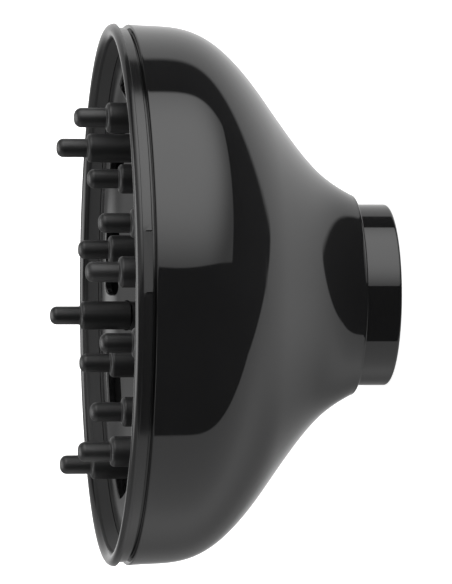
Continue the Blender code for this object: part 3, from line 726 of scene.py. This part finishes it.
def edge_cutter(outline_at, edge, floor_of):
    """A cutter through the dish that leaves a rounded edge. floor_of gives each point's lowest z."""

    def loop(grow, depth):
        points = outline_at(grow)
        return [Vector((p.x, p.y, dish_z(p.length) - depth)) for p in points]

    loops = [loop(edge + EDGE_FLARE, -CUTTER_TOP), loop(edge + EDGE_FLARE, -EDGE_LIFT)]
    for step in range(1, EDGE_STEPS + 1):
        turn = math.pi / 2 * step / EDGE_STEPS
        loops.append(loop(edge * (1 - math.sin(turn)), edge * (1 - math.cos(turn))))
    loops.append([Vector((p.x, p.y, floor_of(p))) for p in outline_at(0.0)])
    return lofted("cutter", loops)


def finger_boss(at, low):
    """Stock round a finger's seat, its top kept under the dish's front."""
    around = round_outline(at, SEAT_BOSS_R, 0.0)
    foot = [Vector((p.x, p.y, low)) for p in around]
    return lofted("boss", [foot, [Vector((p.x, p.y, dish_z(p.length) - PLATE_THICK / 2)) for p in around]])


def make_plate():
    """The dished plate: a seat and a hole for each finger, and a ring of curved air slots."""
    edge_r = APERTURE_R - GAP
    radii = [edge_r * i / DISH_RINGS for i in range(DISH_RINGS + 1)]
    front = [(r, dish_z(r)) for r in radii]
    back = [(r, z - PLATE_THICK) for r, z in front]
    outline = [*front, (PLATE_RIM_R, PLATE_HIGH_Z), (PLATE_RIM_R, back[-1][1]), *back[::-1]]
    piece = turned("plate", outline, closed=False)
    bosses, holes, cutters = [], [], []
    for node in FINGERS:
        at, seat_z = centre_mm(node), corners_mm(node)[1].z - FINGER_LENGTH
        bosses.append(finger_boss(at, seat_z - SEAT_FLOOR))
        holes.append(rod(SHANK_R + GAP, seat_z - SHANK_HOLE[0], seat_z + SHANK_HOLE[1], at))
        cutters.append(edge_cutter(
            lambda grow, at=at: round_outline(at, SEAT_R, grow), SEAT_EDGE, lambda p, z=seat_z: z - GAP,
        ))
    for node in DEFLECTOR_SCREWS:
        at = centre_mm(node)
        post_low = DEFLECTOR_PAD_TOP_Z + GAP
        post_high = dish_z(Vector(at[:2]).length) - POST_BURIED
        bosses.append(rod(DEFLECTOR_PAD_R, post_low, post_high, at))
        holes.append(rod(SCREW_PILOT_R, post_low - HOLE_PAST, post_low + POST_PILOT_DEPTH, at))
    combine(piece, bosses, "UNION")
    for middle in slot_middles():
        cutters.append(edge_cutter(
            lambda grow, m=middle: slot_outline(m, grow), SLOT_EDGE, lambda p: dish_z(p.length) - SLOT_REACH,
        ))
    combine(piece, cutters, "DIFFERENCE")
    combine(piece, holes, "DIFFERENCE")
    finish_piece(piece, "finger_plate", "grille", PLATE_BLACK)


def make_finger(node):
    """A stepped finger: a wide base, a thin tip, and a shank with a snap head."""
    base_top = FINGER_LENGTH - TIP_LENGTH
    floor = SEAT_FLOOR + GAP
    outline = [
        (0.0, FINGER_LENGTH),
        *arc((TIP_R - TIP_EDGE, FINGER_LENGTH - TIP_EDGE), TIP_EDGE, 90, 0, TIP_STEPS),
        *arc((TIP_R + TIP_FILLET, base_top + TIP_FILLET), TIP_FILLET, 180, 270, TIP_FILLET_STEPS),
        *arc((BASE_R - BASE_EDGE, base_top - BASE_EDGE), BASE_EDGE, 90, 0, BASE_STEPS),
        *arc((BASE_R - FOOT_EDGE, FOOT_EDGE), FOOT_EDGE, 0, -90, FOOT_STEPS),
        (SHANK_R, 0.0),
        (SHANK_R, -floor),
        (SNAP_HEAD_R, -floor),
        (SHANK_R - SNAP_TAPER, -floor - SNAP_HEAD_HEIGHT),
        (0.0, -floor - SNAP_HEAD_HEIGHT),
    ]
    piece = turned("finger", outline, SMALL_STEPS, closed=False)
    at = centre_mm(node)
    seat_z = corners_mm(node)[1].z - FINGER_LENGTH
    piece.data.transform(Matrix.Translation(Vector((at.x, at.y, seat_z)) * MM))
    finish_piece(piece, node, "grille", FINGER_BLACK)


def make_deflector():
    """A shallow cap, rounded side to the dryer, that throws the air out to the slots."""
    rise = DEFLECTOR_EDGE_Z - DEFLECTOR_APEX_Z
    radius = (DEFLECTOR_R**2 + rise**2) / (2 * rise)

    def cap(r, lift):
        return r, DEFLECTOR_APEX_Z + lift + radius - math.sqrt(radius**2 - r**2)

    radii = [DEFLECTOR_R * i / DEFLECTOR_RINGS for i in range(DEFLECTOR_RINGS + 1)]
    top = [cap(r, DEFLECTOR_THICK) for r in radii]
    under = [cap(r, 0.0) for r in radii]
    piece = turned("deflector", [*top, *under[::-1]], closed=False)
    low, high = DEFLECTOR_PAD_Z, DEFLECTOR_PAD_TOP_Z
    places = [centre_mm(screw) for screw in DEFLECTOR_SCREWS]
    pads = [rod(DEFLECTOR_PAD_R, low, high, at) for at in places]
    holes = [rod(SCREW_PILOT_R, low - DEFLECTOR_DRILL, high + DEFLECTOR_DRILL, at) for at in places]
    combine(piece, pads, "UNION")
    combine(piece, holes, "DIFFERENCE")
    finish_piece(piece, "air_deflector", "grille", BEZEL_BLACK)


# ---------------------------------------------------------------- studio and camera

FLAT_BACK = Vector((-math.sin(CAMERA_TURN), -math.cos(CAMERA_TURN), 0.0))
UP_Z = Vector((0.0, 0.0, 1.0))
BACK = FLAT_BACK * math.cos(CAMERA_TILT) + UP_Z * math.sin(CAMERA_TILT)  # from the object to the camera
RIGHT = FLAT_BACK * math.sin(CAMERA_TILT) - UP_Z * math.cos(CAMERA_TILT)
UP = BACK.cross(RIGHT)


def towards(azimuth, elevation):
    """A direction from the object: azimuth 0 is towards the camera, 90 the picture's right."""
    a, e = math.radians(azimuth), math.radians(elevation)
    return RIGHT * math.sin(a) * math.cos(e) + UP * math.sin(e) + BACK * math.cos(a) * math.cos(e)


def make_camera():
    data = bpy.data.cameras.new("camera")
    data.lens = CAMERA_LENS
    data.sensor_fit = "VERTICAL"
    data.sensor_height = CAMERA_SENSOR
    camera = bpy.data.objects.new("camera", data)
    bpy.context.scene.collection.objects.link(camera)
    place = Matrix((RIGHT, UP, BACK)).transposed().to_4x4()
    place.translation = CAMERA_AIM + RIGHT * CAMERA_ASIDE + UP * CAMERA_LIFT + BACK * CAMERA_DISTANCE
    camera.matrix_world = place
    bpy.context.scene.camera = camera


def make_world():
    """A white room with a large overhead softbox and a dark side where the camera stands."""
    world = bpy.data.worlds.new("studio")
    bpy.context.scene.world = world
    graph = Graph(world)
    direction = graph.node("TexCoord").outputs["Generated"]

    def side(normal, low, high, at_low=0.0, at_high=1.0):
        dot = graph.node("VectorMath", {0: direction, 1: normal}, operation="DOT_PRODUCT").outputs["Value"]
        return graph.step(dot, low, high, at_low, at_high)

    def plane(start, end, up):
        """The normal of the plane through two directions, on the side of up."""
        normal = towards(*start).cross(towards(*end)).normalized()
        return normal if normal.dot(up) > 0 else -normal

    box = graph.math(
        "MULTIPLY",
        side(plane(*SOFTBOX_LOWER_EDGE, UP), *SOFTBOX_BLUR),
        side(plane(*SOFTBOX_RIGHT_EDGE, UP), *SOFTBOX_BLUR),
    )
    box = graph.math("MULTIPLY", box, side(plane(*SOFTBOX_REAR_EDGE, BACK), *SOFTBOX_REAR_BLUR))
    glow = side(towards(*SOFTBOX_MIDDLE), *SOFTBOX_GLOW)
    dark = graph.math("MAXIMUM", *[side(towards(*middle), *FLAG_BLUR) for middle in FLAG_MIDDLES])
    behind = side(-BACK, *FLAG_TO_WALL)
    beside = graph.math("ADD", side(-RIGHT, *LEFT_WALL), side(-RIGHT, *LEFT_STRIP))
    under = graph.mix(side(-BACK, *REAR_SHARE), 1.0, side(UP, *REAR_FALLOFF))
    room = graph.math("MULTIPLY", graph.mix(dark, beside, behind), under)
    level = graph.mix(box, room, glow)
    seen = graph.node("LightPath").outputs["Is Camera Ray"]
    background = graph.tree.nodes["Background"]
    graph.tree.links.new(graph.mix(seen, level, 1.0), background.inputs["Strength"])
    background.inputs["Color"].default_value = (1.0, 1.0, 1.0, 1.0)


def make_floor():
    shape = bmesh.new()
    bmesh.ops.create_circle(shape, cap_ends=True, segments=FLOOR_STEPS, radius=FLOOR_R)
    floor = as_object("floor", shape)
    floor.location.z = CAD_BOX[0].z - FLOOR_DROP
    material = bpy.data.materials.new("pale_floor")
    graph = Graph(material)
    shader = graph.tree.nodes["Principled BSDF"]
    shader.inputs["Base Color"].default_value = (0.8, 0.8, 0.8, 1.0)
    shader.inputs["Roughness"].default_value = 0.9
    shader.inputs["Emission Color"].default_value = (1.0, 1.0, 1.0, 1.0)
    shader.inputs["Emission Strength"].default_value = FLOOR_GLOW
    floor.data.materials.append(material)
    floor.visible_glossy = False


def main():
    make_shell()
    make_collar()
    make_grip()
    make_retainer()
    for node in RETAINER_SCREWS:
        make_screw(node, "bell", 1)
    make_bezel()
    make_seal()
    make_plate()
    for node in FINGERS:
        make_finger(node)
    make_deflector()
    for node in DEFLECTOR_SCREWS:
        make_screw(node, "grille", -1)
    make_camera()
    make_world()
    make_floor()
    bpy.context.scene.view_settings.view_transform = "Standard"


main()
